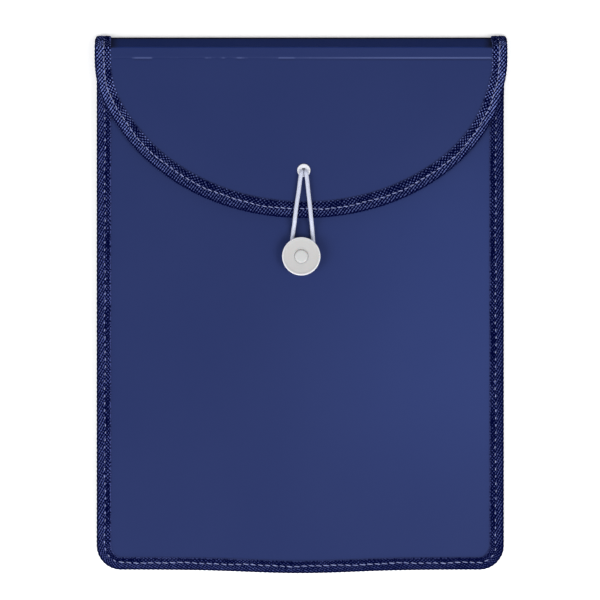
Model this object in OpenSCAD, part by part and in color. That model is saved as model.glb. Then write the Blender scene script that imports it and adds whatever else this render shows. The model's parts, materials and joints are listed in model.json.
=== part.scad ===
// Deposit bag of sewn plastic sheet, lying on its back with the flap closed.
// X runs across the bag, Y from the bottom edge up to the top fold, Z out of the front.
// The origin is the middle of the footprint, on the surface that the bag lies on.

/* [Pocket] */
// Width of the pocket over its edge tape
pocket_w = 240; // [220:2:300]
// Height of the closed bag, from the bottom edge to the top fold
bag_h = 316; // [260:2:400]
// Outer radius of the two bottom corners
corner_r = 14.4; // [12:0.2:24]
// Thickness of the front, back and flap sheet
sheet_t = 0.6; // [0.4:0.1:0.8]
// Thickness of the gusset sheet
gusset_t = 0.5; // [0.3:0.1:0.6]
// How far the gussets fold in past the tape
gusset_fold = 8; // [6:0.5:12]

/* [Edge tape] */
// Thickness of the tape
tape_t = 0.5; // [0.3:0.1:0.7]
// Width of the tape that shows along the sides of the pocket
side_tape_w = 8.3; // [6:0.1:10]
// Width of the tape that shows along the bottom edge
bottom_tape_w = 7.3; // [6:0.1:10]
// Width of the tape that shows round the flap
flap_tape_w = 9.5; // [7:0.1:11]
// Width of the sewing thread
thread_w = 0.6; // [0.4:0.1:0.8]
// How deep the thread is drawn into the tape
thread_t = 0.25; // [0.1:0.05:0.3]

/* [Flap and top fold] */
// Width of the sheet that folds over the top, with its tape
flap_w = 243; // [220:1:306]
// Length of the strip between the two creases
spine_l = 12.5; // [12:0.5:16]
// How far the strip leans forward from lying open
spine_tilt = 121; // [118:1:130]
// Length of the flap's straight sides under the crease
flap_straight = 6.2; // [2:0.2:10]
// Height of the flap's rounded part
flap_round = 93.5; // [80:0.5:100]
// From the front crease to the score line across the flap
score_y = 6.2; // [4:0.1:8]

/* [Fastening] */
// Diameter of the button's disc
disc_d = 22.6; // [20:0.2:26]
// Diameter of the neck that the elastic goes round
neck_d = 12; // [10:0.2:13]
// From the top fold down to the button's centre
button_drop = 129.8; // [125:0.2:150]
// How far the button is off the centre line
button_x = 0.6; // [-3:0.1:3]
// From the top fold down to the eyelet's centre
eyelet_drop = 79.2; // [70:0.2:84]
// How far the eyelet is off the centre line
eyelet_x = 2.1; // [-3:0.1:3]
// Diameter of the round elastic
elastic_d = 2.3; // [1.8:0.1:2.4]

/* [Hidden] */

eps = 0.01;
fine = 96;
blue = [0.17, 0.22, 0.41];
navy = [0.10, 0.13, 0.28];
white = [0.90, 0.90, 0.90];

// Stacks of layers, from the surface up
stack_t = sheet_t + gusset_t;
channel_t = stack_t + 2 * tape_t;
back_z = tape_t;
back_mid = back_z + sheet_t / 2;
flap_half_t = sheet_t / 2 + tape_t;

// Creases
web_r = sheet_t / 2;
rear_y = bag_h / 2 - web_r;
front_y = rear_y + spine_l * cos(spine_tilt);
front_crease_z = back_mid + spine_l * sin(spine_tilt);
rear_setback = 0.9;
front_setback = 0.4;
spine_tape_rear_gap = 1.1;
back_tape_gap = 2.6;
crease_tape_gap = 0.8;

// The front of the pocket, under the flap
flap_gap = 1.2;
front_top = front_crease_z - flap_half_t - flap_gap;
front_z0 = front_top - channel_t;
front_in = front_z0 + tape_t + gusset_t;
front_out = front_in + sheet_t;
mouth_y = front_y - 5;
gusset_top_y = mouth_y;
fold_clear = 2;
bottom_y = -bag_h / 2;
pocket_seam_in = 4.6;
flap_seam_in = 5.1;

// Flap levels
flap_out = front_crease_z + sheet_t / 2;
flap_in = front_crease_z - sheet_t / 2;

// Button
button_y = bag_h / 2 - button_drop;
button_lift = 0.1;
neck_h = 4.4;
disc_z = front_out + neck_h;
disc_t = 1.8;
disc_edge = 0.5;
head_r = 3.8;
head_t = 1.5;
head_sunk = 0.6;
shank_r = 2.5;
bore_r = shank_r + 0.08;
cap_r = 5;
cap_t = 1.3;
cap_wall = 0.4;

// Eyelet
eyelet_y = bag_h / 2 - eyelet_drop;
eyelet_r = 3.85;
eyelet_wall = 0.35;
eyelet_hole_r = 2.65;
flange_t = 0.6;
washer_t = 0.25;
washer_r = 4.2;
curl_t = 0.25;
ferrule = [9, 4, 1.1];
ferrule_drop = 0.5;

// ---------- outlines ----------

// The pocket's outline, set in by dx at the sides and dy at the bottom
module pocket_outline(dx, dy, top) {
    half = pocket_w / 2 - dx;
    low = bottom_y + dy;
    r = corner_r - max(dx, dy);
    translate([-half, low + r]) square([2 * half, top - low - r]);
    translate([-half + r, low]) square([2 * (half - r), r + eps]);
    for (side = [-1, 1]) translate([side * (half - r), low + r]) circle(r, $fn = fine);
}

// The flap's outline below the front crease, set in from its edge
function flap_points(inset, n = 72) = concat(
    [[-flap_w / 2 + inset, 0]],
    [for (i = [0 : n]) let (a = 180 + 180 * i / n)
        [(flap_w / 2 - inset) * cos(a), -flap_straight + (flap_round - inset) * sin(a)]],
    [[flap_w / 2 - inset, 0]]);

module flap_outline(inset, start = 0) {
    translate([0, front_y]) intersection() {
        polygon(flap_points(inset));
        translate([-flap_w, -bag_h - start]) square([2 * flap_w, bag_h]);
    }
}

// ---------- repeated shapes ----------

// Tape folded round the edge of the pocket's front or back stack, open to the inside
module pocket_tape(z, top) {
    translate([0, 0, z]) difference() {
        linear_extrude(channel_t) difference() {
            pocket_outline(0, 0, top);
            pocket_outline(side_tape_w, bottom_tape_w, top + 1);
        }
        translate([0, 0, tape_t]) linear_extrude(stack_t)
            pocket_outline(tape_t, tape_t, top + 1);
    }
}

// A line of thread round the pocket, as wide and as deep as it is drawn into the tape
module pocket_thread(z, top) {
    inner = pocket_seam_in + thread_w;
    translate([0, 0, z]) linear_extrude(thread_t) difference() {
        pocket_outline(pocket_seam_in, pocket_seam_in, top);
        pocket_outline(inner, inner, top + 1);
    }
}

module back_threads() {
    for (z = [0, channel_t - thread_t]) pocket_thread(z, rear_y - back_tape_gap);
}

module front_threads() {
    for (z = [front_z0, front_top - thread_t]) pocket_thread(z, mouth_y);
}

module flap_threads() {
    for (z = [-flap_half_t, flap_half_t - thread_t])
        translate([0, 0, front_crease_z + z]) linear_extrude(thread_t) difference() {
            flap_outline(flap_seam_in, crease_tape_gap);
            flap_outline(flap_seam_in + thread_w);
        }
}

// Carries a shape drawn lying open behind the rear crease to where the strip leans
module on_spine() {
    translate([0, rear_y, back_mid]) rotate([spine_tilt, 0, 0]) children();
}

module spine_tape(side) {
    from = spine_tape_rear_gap;
    length = spine_l - crease_tape_gap - from;
    x = side > 0 ? flap_w / 2 - flap_tape_w : -flap_w / 2;
    slot_x = side > 0 ? x - 1 : x + tape_t;
    difference() {
        translate([x, from, -flap_half_t]) cube([flap_tape_w, length, 2 * flap_half_t]);
        translate([slot_x, from - 1, -sheet_t / 2])
            cube([flap_tape_w + 1 - tape_t, length + 2, sheet_t]);
        spine_thread(side);
    }
}

module spine_thread(side) {
    from = spine_tape_rear_gap;
    x = side * (flap_w / 2 - flap_seam_in - thread_w / 2) - thread_w / 2;
    for (z = [-flap_half_t, flap_half_t - thread_t])
        translate([x, from, z]) cube([thread_w, spine_l - crease_tape_gap - from, thread_t]);
}

// Cross-section of a gusset, edge at 0 and fold towards +X: two flanges and a V between them
module gusset_section() {
    low = back_z + sheet_t + gusset_t / 2;
    high = front_in - gusset_t / 2;
    mid = (low + high) / 2;
    start = side_tape_w + fold_clear;
    rise = (mid - low) / gusset_fold;
    h = gusset_t / 2;
    tip = start + gusset_fold;
    polygon([[tape_t, low - h], [start, low - h], [tip + h / rise, mid], [start, high + h],
             [tape_t, high + h], [tape_t, high - h], [start, high - h], [tip - h / rise, mid],
             [start, low + h], [tape_t, low + h]]);
}

// The part of the pocket that a side gusset fills, down to the mitre at its bottom corner
module side_gusset() {
    left = -pocket_w / 2;
    reach = bag_h;
    intersection() {
        translate([left, gusset_top_y, 0]) rotate([90, 0, 0])
            linear_extrude(gusset_top_y - bottom_y) gusset_section();
        linear_extrude(bag_h) intersection() {
            pocket_outline(tape_t, tape_t, gusset_top_y);
            polygon([[left, bottom_y], [left + reach, bottom_y + reach], [left, bottom_y + reach]]);
        }
    }
}

// ---------- pocket ----------

module back_panel() {
    color(blue) {
        translate([0, 0, back_z]) linear_extrude(sheet_t)
            pocket_outline(tape_t, tape_t, rear_y);
        translate([-pocket_w / 2 + tape_t, rear_y, back_mid]) rotate([0, 90, 0])
            cylinder(h = pocket_w - 2 * tape_t, r = web_r, $fn = fine);
    }
}

module back_tape() {
    color(navy) difference() {
        pocket_tape(0, rear_y - back_tape_gap);
        back_threads();
    }
}

module back_seam() {
    color(blue) back_threads();
}

module front_panel() {
    color(blue) difference() {
        translate([0, 0, front_in]) linear_extrude(sheet_t)
            pocket_outline(tape_t, tape_t, mouth_y);
        translate([button_x, button_y, front_in - 1])
            cylinder(h = sheet_t + 2, r = bore_r, $fn = fine);
    }
}

module front_tape() {
    color(navy) difference() {
        pocket_tape(front_z0, mouth_y);
        front_threads();
    }
}

module front_seam() {
    color(blue) front_threads();
}

module left_gusset() {
    color(blue) side_gusset();
}

module right_gusset() {
    color(blue) mirror([1, 0, 0]) side_gusset();
}

module bottom_gusset() {
    half = pocket_w / 2;
    color(blue) intersection() {
        translate([-half, bottom_y, 0]) rotate([90, 0, 90])
            linear_extrude(pocket_w) gusset_section();
        linear_extrude(bag_h) intersection() {
            pocket_outline(tape_t, tape_t, gusset_top_y);
            polygon([[-half, bottom_y], [half, bottom_y], [0, bottom_y + half]]);
        }
    }
}

// ---------- strip between the creases ----------

module spine_strip() {
    half = flap_w / 2 - tape_t;
    color(blue) on_spine() {
        translate([-half, rear_setback, -sheet_t / 2])
            cube([2 * half, spine_l - rear_setback, sheet_t]);
        translate([-half, spine_l, 0]) rotate([0, 90, 0])
            cylinder(h = 2 * half, r = web_r, $fn = fine);
    }
}

module left_spine_tape() {
    color(navy) on_spine() spine_tape(-1);
}

module right_spine_tape() {
    color(navy) on_spine() spine_tape(1);
}

module spine_seam() {
    color(blue) on_spine() for (side = [-1, 1]) spine_thread(side);
}

// ---------- flap ----------

module flap_panel() {
    score_w = 1.2;
    color(blue) difference() {
        translate([0, 0, flap_in]) linear_extrude(sheet_t)
            flap_outline(tape_t, front_setback + web_r);
        translate([-flap_w, front_y - score_y - score_w / 2, flap_out - sheet_t / 4])
            cube([2 * flap_w, score_w, sheet_t]);
        translate([eyelet_x, eyelet_y, flap_in - 1])
            cylinder(h = sheet_t + 2, r = eyelet_hole_r + eyelet_wall, $fn = fine);
    }
}

module flap_tape() {
    color(navy) difference() {
        translate([0, 0, front_crease_z - flap_half_t]) linear_extrude(2 * flap_half_t)
            difference() {
                flap_outline(0, crease_tape_gap);
                flap_outline(flap_tape_w);
            }
        translate([0, 0, flap_in]) linear_extrude(sheet_t) flap_outline(tape_t);
        flap_threads();
    }
}

module flap_seam() {
    color(blue) flap_threads();
}

// Barrel with a rolled flange on the outside and a thinner curl on the inside
module eyelet() {
    barrel_r = eyelet_hole_r + eyelet_wall;
    top = flap_out + flange_t;
    low = flap_in - washer_t - curl_t;
    bevel = flange_t / 2;
    color(white) translate([eyelet_x, eyelet_y, 0]) rotate_extrude($fn = fine)
        polygon([[eyelet_hole_r, low], [washer_r - 0.3, low], [washer_r - 0.3, low + curl_t],
                 [barrel_r, low + curl_t], [barrel_r, flap_out], [eyelet_r, flap_out],
                 [eyelet_r, top - bevel], [eyelet_r - bevel, top],
                 [eyelet_hole_r + bevel, top], [eyelet_hole_r, top - bevel]]);
}

module eyelet_washer() {
    color(white) translate([eyelet_x, eyelet_y, flap_in - washer_t]) difference() {
        cylinder(h = washer_t, r = washer_r, $fn = fine);
        translate([0, 0, -1])
            cylinder(h = washer_t + 2, r = eyelet_hole_r + eyelet_wall, $fn = fine);
    }
}

// Flattened metal sleeve that holds both ends of the elastic behind the eyelet
module elastic_ferrule() {
    top = flap_in - washer_t - curl_t;
    r = ferrule[1] / 2;
    color("silver") translate([eyelet_x, eyelet_y - ferrule_drop, top - ferrule[2]])
        linear_extrude(ferrule[2]) {
            square([ferrule[0] - ferrule[1], ferrule[1]], center = true);
            for (side = [-1, 1])
                translate([side * (ferrule[0] / 2 - r), 0]) circle(r, $fn = fine);
        }
}

// ---------- elastic ----------

// Each leg's route down from the ferrule, out through the eyelet and over the flap's edge to the
// disc's rim, from the eyelet's centre at the height of the flap's outside
left_leg = [
    [-1.25, -0.5, -0.9], [-1.25, -0.5, 0.3], [-1.3, -0.8, 1.4], [-1.6, -1.9, 1.9],
    [-2.1, -5, 1.9], [-3, -12, 1.9], [-4.2, -20, 1.9], [-5.2, -28, 1.8],
    [-5.5, -31, 0.7], [-6.1, -35, -0.8], [-6.6, -39, -1.45], [-7.1, -44, -1.5]];
right_leg = [
    [1.25, -0.5, -0.9], [1.25, -0.5, 0.3], [1.3, -0.8, 1.4], [1.5, -1.9, 1.9],
    [1.9, -5, 1.9], [2.6, -12, 1.9], [3.5, -20, 1.9], [4.3, -28, 1.8],
    [4.6, -31, 0.7], [5, -35, -0.8], [5.3, -39, -1.45], [5.6, -44, -1.5]];
wrap_clear = 0.15;
wrap_r = neck_d / 2 + elastic_d / 2 + wrap_clear;
wrap_from = 174;
wrap_to = 366;
wrap_step = 16;

function reversed(list) = [for (i = [len(list) - 1 : -1 : 0]) list[i]];
function unit(v) = v / norm(v);

eyelet_at = [eyelet_x, eyelet_y, flap_out];
wrap_at = [button_x, button_y, front_out + elastic_d / 2 + wrap_clear];
loop_route = concat(
    [for (p = left_leg) eyelet_at + p],
    [for (a = [wrap_from : wrap_step : wrap_to]) wrap_at + wrap_r * [cos(a), sin(a), 0]],
    [for (p = reversed(right_leg)) eyelet_at + p]);

// Direction of the route at each point, and a side vector carried along it without twist
function direction(p, i) = unit(p[min(i + 1, len(p) - 1)] - p[max(i - 1, 0)]);
function carried(p, i, v) = let (d = direction(p, i), w = unit(v - (v * d) * d))
    i == len(p) - 1 ? [w] : concat([w], carried(p, i + 1, w));

module tube(p, r, sides = 8) {
    across = carried(p, 0, [1, 0, 0]);
    points = [for (i = [0 : len(p) - 1]) let (u = across[i], v = cross(direction(p, i), u))
        for (k = [0 : sides - 1]) let (a = 360 * k / sides) p[i] + r * (cos(a) * u + sin(a) * v)];
    last = (len(p) - 1) * sides;
    walls = [for (i = [0 : len(p) - 2], k = [0 : sides - 1])
        let (a = i * sides + k, b = i * sides + (k + 1) % sides, c = a + sides, d = b + sides)
        each [[a, c, b], [b, c, d]]];
    caps = [for (k = [1 : sides - 2]) each [[0, k, k + 1], [last, last + k + 1, last + k]]];
    polyhedron(points, concat(walls, caps));
}

module elastic_loop() {
    color(white) tube(loop_route, elastic_d / 2);
}

// ---------- button ----------

module button_disc() {
    r = disc_d / 2;
    top = disc_z + disc_t;
    color(white) translate([button_x, button_y, 0]) rotate_extrude($fn = fine)
        polygon([[bore_r, front_out + button_lift], [neck_d / 2, front_out + button_lift],
                 [neck_d / 2, disc_z], [r - disc_edge, disc_z], [r, disc_z + disc_edge],
                 [r, top - disc_edge], [r - disc_edge, top],
                 [head_r + 0.3, top], [head_r + 0.3, top - head_sunk],
                 [bore_r, top - head_sunk]]);
}

module button_rivet() {
    head_z = disc_z + disc_t - head_sunk + 0.05;
    low = front_in - cap_t + cap_wall;
    bevel = 0.5;
    color(white) translate([button_x, button_y, 0]) rotate_extrude($fn = fine)
        polygon([[0, low], [shank_r, low], [shank_r, head_z], [head_r, head_z],
                 [head_r, head_z + head_t - bevel], [head_r - bevel, head_z + head_t],
                 [0, head_z + head_t]]);
}

module rivet_cap() {
    low = front_in - cap_t;
    bevel = 0.4;
    color(white) translate([button_x, button_y, 0]) rotate_extrude($fn = fine)
        polygon([[0, low], [cap_r - bevel, low], [cap_r, low + bevel], [cap_r, front_in],
                 [shank_r, front_in], [shank_r, low + cap_wall],
                 [0, low + cap_wall]]);
}

back_panel();
back_tape();
back_seam();
front_panel();
front_tape();
front_seam();
left_gusset();
right_gusset();
bottom_gusset();
spine_strip();
left_spine_tape();
right_spine_tape();
spine_seam();
flap_panel();
flap_tape();
flap_seam();
eyelet();
eyelet_washer();
elastic_ferrule();
elastic_loop();
button_disc();
button_rivet();
rivet_cap();
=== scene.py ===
"""A deposit bag of blue plastic sheet with stitched edge tape, lying closed on a pale floor.

Lengths are in metres, in the frame of the CAD part: X across, Y up to the top fold, Z out of the
front. The sheets, tapes and stitches are made flat, as points (x, s, c), where s runs up the sheet
and c stands out of it, and a placing function then folds them round the creases.
"""

import json
import math

import bmesh
import bpy
import numpy as np
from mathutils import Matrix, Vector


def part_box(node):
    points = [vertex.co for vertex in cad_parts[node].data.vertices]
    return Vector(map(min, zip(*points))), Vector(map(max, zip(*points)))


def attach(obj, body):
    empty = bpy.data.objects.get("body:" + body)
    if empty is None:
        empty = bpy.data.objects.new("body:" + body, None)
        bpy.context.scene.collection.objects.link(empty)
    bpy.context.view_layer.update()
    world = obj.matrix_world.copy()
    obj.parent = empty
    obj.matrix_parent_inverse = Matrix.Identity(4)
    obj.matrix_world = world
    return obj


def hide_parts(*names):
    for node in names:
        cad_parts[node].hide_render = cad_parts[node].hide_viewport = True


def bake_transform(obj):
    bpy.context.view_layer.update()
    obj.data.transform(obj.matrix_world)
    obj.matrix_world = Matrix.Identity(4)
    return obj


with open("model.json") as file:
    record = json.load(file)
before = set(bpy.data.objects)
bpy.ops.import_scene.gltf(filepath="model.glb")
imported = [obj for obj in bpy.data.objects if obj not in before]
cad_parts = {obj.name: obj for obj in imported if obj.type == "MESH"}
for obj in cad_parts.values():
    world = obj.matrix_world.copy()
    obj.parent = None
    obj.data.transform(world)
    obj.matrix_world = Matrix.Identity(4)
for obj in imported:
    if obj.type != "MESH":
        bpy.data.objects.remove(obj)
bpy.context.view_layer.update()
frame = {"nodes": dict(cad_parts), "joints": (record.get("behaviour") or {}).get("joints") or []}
joints = {joint["name"]: joint for joint in frame["joints"]}

# ---------- sizes ----------

MM = 0.001
TO_MM = 1000.0

# Thicknesses, and the radii of the pocket's bottom corners and of the flap's
SHEET_T = 0.6 * MM
GUSSET_T = 0.5 * MM
TAPE_T = 0.5 * MM
CORNER_R = 14.4 * MM
FLAP_ROUND = 93.5 * MM

# Width of the tape, and how far its stitch line is from its folded edge
SIDE_TAPE_W = 8.5 * MM
BOTTOM_TAPE_W = 7.3 * MM
FLAP_TAPE_W = 9.5 * MM
SIDE_SEAM = 4.9 * MM
FLAP_SEAM = 5.4 * MM

# Distance between stations along the pocket's tape and the flap's
STEP = 0.5 * MM
FLAP_STEP = 0.32 * MM

# The tape's rounded fold, the swell of its leaves and their thinning towards the inner edge
NOSE = 1.1 * MM
SWELL = 0.16 * MM
THINNING = 0.14 * MM

# How far the thread draws the tape in, and half the width of that furrow
DRAWN = 0.22 * MM
FURROW = 0.7 * MM

# Relief of the tape's weave, and of the waves along its inner edge
RIB_H = 0.1 * MM
SCALLOP = 0.14 * MM
SCALLOP_W = 0.6 * MM

# The bottom edge's rise at its ends and fall in the middle, and half the width of that middle
BOW = 2.1 * MM
BOW_DOWN = 0.6 * MM
BOW_W = 45 * MM

# How far the top and the flap lean to the right and the tip hangs down, and wear at the corners
TOP_LEAN = 0.3 * MM
FLAP_LEAN = 2.3 * MM
FLAP_DROP = 0.9 * MM
RIGHT_BULGE = 0.3 * MM
CORNER_WEAR = 0.9 * MM

# The thread's radius, its pitches and stitch lengths, and its height over the sheet's middle
THREAD_R = 0.25 * MM
BODY_PITCH = 4.3 * MM
FLAP_PITCH = 3.7 * MM
SHORT_STITCH = 1.6 * MM
LONG_STITCH = 3.7 * MM
FLAP_STITCH = 3.0 * MM
THREAD_LEVEL = 0.75 * MM
STITCH_TURN = 0.14

# Holes for the button's rivet and for the eyelet, and the drop from the crease to the score line
BUTTON_BORE = 2.58 * MM
EYELET_BORE = 3.0 * MM
SCORE_DROP = 6.2 * MM

# Places taken from the CAD part
rear_crease = np.array(joints["spine_fold"]["pos_m"])
front_crease = np.array(joints["flap_fold"]["pos_m"])
spine = front_crease - rear_crease
spine_length = float(np.linalg.norm(spine))
spine_angle = math.atan2(spine[2], spine[1])
pocket_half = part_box("back_tape")[1].x
flap_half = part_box("flap_tape")[1].x
bottom_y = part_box("back_tape")[0].y
mouth_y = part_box("front_tape")[1].y
flap_tip_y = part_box("flap_tape")[0].y
back_mid_z = rear_crease[2]
front_mid_z = (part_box("front_panel")[0].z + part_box("front_panel")[1].z) / 2
flap_mid_z = front_crease[2]
flap_round_y = flap_tip_y + FLAP_ROUND

# Radius of the sheet's middle at the two creases
REAR_BEND_R = 0.8 * MM
FRONT_BEND_R = 0.6 * MM


# ---------- numbers ----------


def smooth(x):
    """0 below 0, 1 above 1, and an S-curve between."""
    t = np.clip(x, 0.0, 1.0)
    return t * t * (3.0 - 2.0 * t)


def rise(value, start, length):
    """0 up to start, 1 from start + length on, and an S-curve between."""
    return smooth((value - start) / length)


def bell(value, middle, width):
    """1 at the middle, falling away on both sides over about the width."""
    return np.exp(-(((value - middle) / width) ** 2))


def full_turn(count):
    """Evenly spaced angles round a full turn."""
    return np.linspace(0.0, math.tau, count, endpoint=False)


def stack(*columns):
    """Columns that broadcast together, as an array of points."""
    return np.stack(np.broadcast_arrays(*columns), axis=-1)


def along(points):
    """Distance of each point along the line that they make."""
    steps = np.linalg.norm(np.diff(points, axis=0), axis=1)
    return np.concatenate([[0.0], np.cumsum(steps)])


def tangents(points):
    """Unit direction of a line at each of its points."""
    direction = np.gradient(points, axis=0)
    return direction / np.linalg.norm(direction, axis=1, keepdims=True)


def resample(points, step):
    """The same line with its points about step apart."""
    length = along(points)
    count = max(2, int(round(length[-1] / step)) + 1)
    at = np.linspace(0.0, length[-1], count)
    return np.stack([np.interp(at, length, axis) for axis in points.T], axis=-1)


def curve_through(points, step):
    """A smooth line through given points (a Catmull-Rom spline), resampled to step."""
    p = np.vstack([2 * points[0] - points[1], points, 2 * points[-1] - points[-2]])
    t = np.linspace(0.0, 1.0, 24, endpoint=False)[:, None]
    pieces = []
    for a, b, c, d in zip(p, p[1:], p[2:], p[3:]):
        pieces.append(0.5 * (2 * b + (c - a) * t + (2 * a - 5 * b + 4 * c - d) * t**2
                             + (3 * b - a - 3 * c + d) * t**3))
    return resample(np.vstack([*pieces, points[-1:]]), step)


# ---------- meshes ----------


def add_object(name, data):
    """An object of this data, put in the scene."""
    made = bpy.data.objects.new(name, data)
    bpy.context.scene.collection.objects.link(made)
    return made


def add_mesh(name, points, faces, uv=None, cloth=None):
    """A smooth-shaded object from arrays of points and faces, with UV maps in metres."""
    mesh = bpy.data.meshes.new(name)
    mesh.from_pydata(points.reshape(-1, 3).tolist(), [], [tuple(f) for f in faces])
    mesh.polygons.foreach_set("use_smooth", [True] * len(mesh.polygons))
    corner = np.zeros(len(mesh.loops), dtype=np.int32)
    mesh.loops.foreach_get("vertex_index", corner)
    for title, places in (("flat", uv), ("cloth", cloth)):
        if places is not None:
            layer = mesh.uv_layers.new(name=title)
            layer.data.foreach_set("uv", places.reshape(-1, 2)[corner].astype(np.float32).ravel())
    mesh.update()
    return add_object(name, mesh)


def grid_faces(rows, columns, ring=False):
    """Quads over a grid of points. With ring, the last column joins the first."""
    row = np.arange(rows - 1)[:, None]
    column = np.arange(columns if ring else columns - 1)[None, :]
    after = (column + 1) % columns
    a, b = row * columns + column, row * columns + after
    c, d = (row + 1) * columns + after, (row + 1) * columns + column
    return np.stack([a, b, c, d], axis=-1).reshape(-1, 4)


def capped_faces(rows, columns):
    """The faces of a tube whose rings have this many points, with both of its ends closed."""
    cap = np.arange(columns)
    return [*grid_faces(rows, columns, ring=True), cap[::-1], cap + (rows - 1) * columns]


def clean(piece, degrees):
    """Joins points that coincide, turns every face outwards and keeps sharp edges crisp."""
    work = bmesh.new()
    work.from_mesh(piece.data)
    bmesh.ops.remove_doubles(work, verts=work.verts, dist=1e-7)
    bmesh.ops.dissolve_degenerate(work, edges=work.edges, dist=1e-7)
    bmesh.ops.recalc_face_normals(work, faces=work.faces)
    limit = math.radians(degrees)
    for edge in work.edges:
        edge.smooth = edge.calc_face_angle(0.0) < limit
    work.to_mesh(piece.data)
    work.free()
    return piece


def cut_hole(piece, centre, radius):
    """Cuts a round hole through a sheet, straight along Z."""
    sides, reach = 64, 3 * MM
    around = full_turn(sides)
    ring = stack(centre[0] + radius * np.cos(around), centre[1] + radius * np.sin(around), 0.0)
    points = np.concatenate([ring + [0.0, 0.0, centre[2] + way] for way in (-reach, reach)])
    cutter = clean(add_mesh("cutter", points, capped_faces(2, sides)), 40)
    hole = piece.modifiers.new("hole", "BOOLEAN")
    hole.object = cutter
    hole.solver = "EXACT"
    bpy.context.view_layer.objects.active = piece
    bpy.ops.object.modifier_apply(modifier="hole")
    bpy.data.objects.remove(cutter)


def tube(line, radius, sides):
    """Points and faces of a round tube along a line, with UVs along and round it."""
    direction = tangents(line)
    across = np.zeros_like(line)
    across[0] = np.cross(direction[0], [0.0, 1.0, 0.3])
    for i in range(len(line)):
        side = across[max(i - 1, 0)]
        side = side - (side @ direction[i]) * direction[i]
        across[i] = side / np.linalg.norm(side)
    up = np.cross(direction, across)
    angle = full_turn(sides)[None, :, None]
    ring = np.cos(angle) * across[:, None] + np.sin(angle) * up[:, None]
    points = line[:, None] + radius * ring
    uv = stack(along(line)[:, None], radius * angle[..., 0])
    return points, capped_faces(len(line), sides), uv


# ---------- placing flat points on the folded sheet ----------


def fold(points, crease, middle_z, radius, angle, side):
    """Bends flat points (x, s, c) round a crease: towards +Z where side is 1, -Z where it is -1."""
    start = crease - radius * math.tan(angle / 2)
    beyond = np.maximum(points[..., 1] - start, 0.0)
    turned = np.minimum(beyond / radius, angle)
    straight = beyond - turned * radius
    reach = radius - side * points[..., 2]
    y = np.where(beyond > 0, start + reach * np.sin(turned) + straight * np.cos(turned),
                 points[..., 1])
    z = side * (radius - reach * np.cos(turned) + straight * np.sin(turned))
    return stack(points[..., 0], y, middle_z + z)


def developed(crease, radius, angle, distance):
    """The flat s of a point that lies this distance past a crease once it is folded."""
    tangent = radius * math.tan(angle / 2)
    return crease - 2 * tangent + radius * angle + distance


def lean(points, down):
    """Flat points leaning to the right, more so where the flap hangs down, with worn top corners."""
    x, s = points[..., 0], points[..., 1]
    top = rise(s, 100 * MM, 30 * MM)
    right = rise(x, 80 * MM, 30 * MM)
    bulge = RIGHT_BULGE * right * rise(s, 120 * MM, 20 * MM)
    hanging = (1.0 - top) * (1.0 - 0.4 * right) * down
    corner = CORNER_WEAR * bell(s, rear_crease[1] + 0.4 * MM, 1.5 * MM)
    corner = corner * np.sign(x) * rise(np.abs(x), flap_half - 4 * MM, 4 * MM)
    return stack(x + top * TOP_LEAN + bulge + hanging - corner, s, points[..., 2])


def on_back(points):
    """The back sheet and the lower half of the strip behind the pocket."""
    return fold(lean(points, 0.0), rear_crease[1], back_mid_z, REAR_BEND_R, spine_angle, 1)


def on_front(points):
    """The front sheet, which has no fold."""
    return points + np.array([0.0, 0.0, front_mid_z])


def flap_sag(points):
    """How far the flap's rim is drawn down towards the pocket."""
    x, s = points[..., 0], points[..., 1]
    out = np.hypot(x / flap_half, np.minimum(s - flap_round_y, 0.0) / FLAP_ROUND)
    rim = rise(out, 0.72, 0.28)
    away_from_crease = smooth((front_crease[1] - 6 * MM - s) / (34 * MM))
    return 0.4 * MM * rim * away_from_crease


def on_flap(points):
    """The flap and the upper half of the strip behind the pocket."""
    s = points[..., 1]
    stretch = FLAP_DROP * smooth(1.0 - (s - flap_tip_y) / (30 * MM))
    sagged = lean(stack(points[..., 0], s - stretch, points[..., 2] - flap_sag(points)), FLAP_LEAN)
    return fold(sagged, front_crease[1], flap_mid_z, FRONT_BEND_R, math.pi - spine_angle, -1)


back_top_s = developed(rear_crease[1], REAR_BEND_R, spine_angle, spine_length / 2)
flap_top_s = developed(front_crease[1], FRONT_BEND_R, math.pi - spine_angle, spine_length / 2)


# ---------- outlines ----------


def bowed(x, y):
    """Y with the bottom edge let down in the middle and drawn up towards its ends."""
    bend = BOW * (1.0 - bell(x, 0.0, BOW_W)) - BOW_DOWN
    return y + bend * smooth((-60 * MM - y) / (98 * MM))


def half_width(s, inset=0.0):
    """Half the width of the back at s: the pocket's, widening to the flap's at the top fold."""
    widening = rise(s, rear_crease[1] - 9 * MM, 8 * MM)
    return pocket_half + (flap_half - pocket_half) * widening - inset


def arc(centre, radius, start, end, count=24):
    """Points along an arc, with its angles in degrees."""
    angle = np.radians(np.linspace(start, end, count))
    return stack(centre[0] + radius * np.cos(angle), centre[1] + radius * np.sin(angle))


def pocket_edge(top):
    """The outer edge line of the pocket, down its left side, round the bottom and up its right."""
    r = CORNER_R
    side = np.linspace(top, bottom_y + r, 200, endpoint=False)
    left = stack(-half_width(side), side)
    low_left = arc((-pocket_half + r, bottom_y + r), r, 180, 270)
    bottom = stack(np.linspace(-pocket_half + r, pocket_half - r, 120)[1:-1], bottom_y)
    low_right = arc((pocket_half - r, bottom_y + r), r, 270, 360)
    right = stack(half_width(side), side)[::-1]
    line = np.vstack([left, low_left, bottom, low_right, right])
    line[:, 1] = bowed(line[:, 0], line[:, 1])
    return resample(line, STEP)


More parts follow.
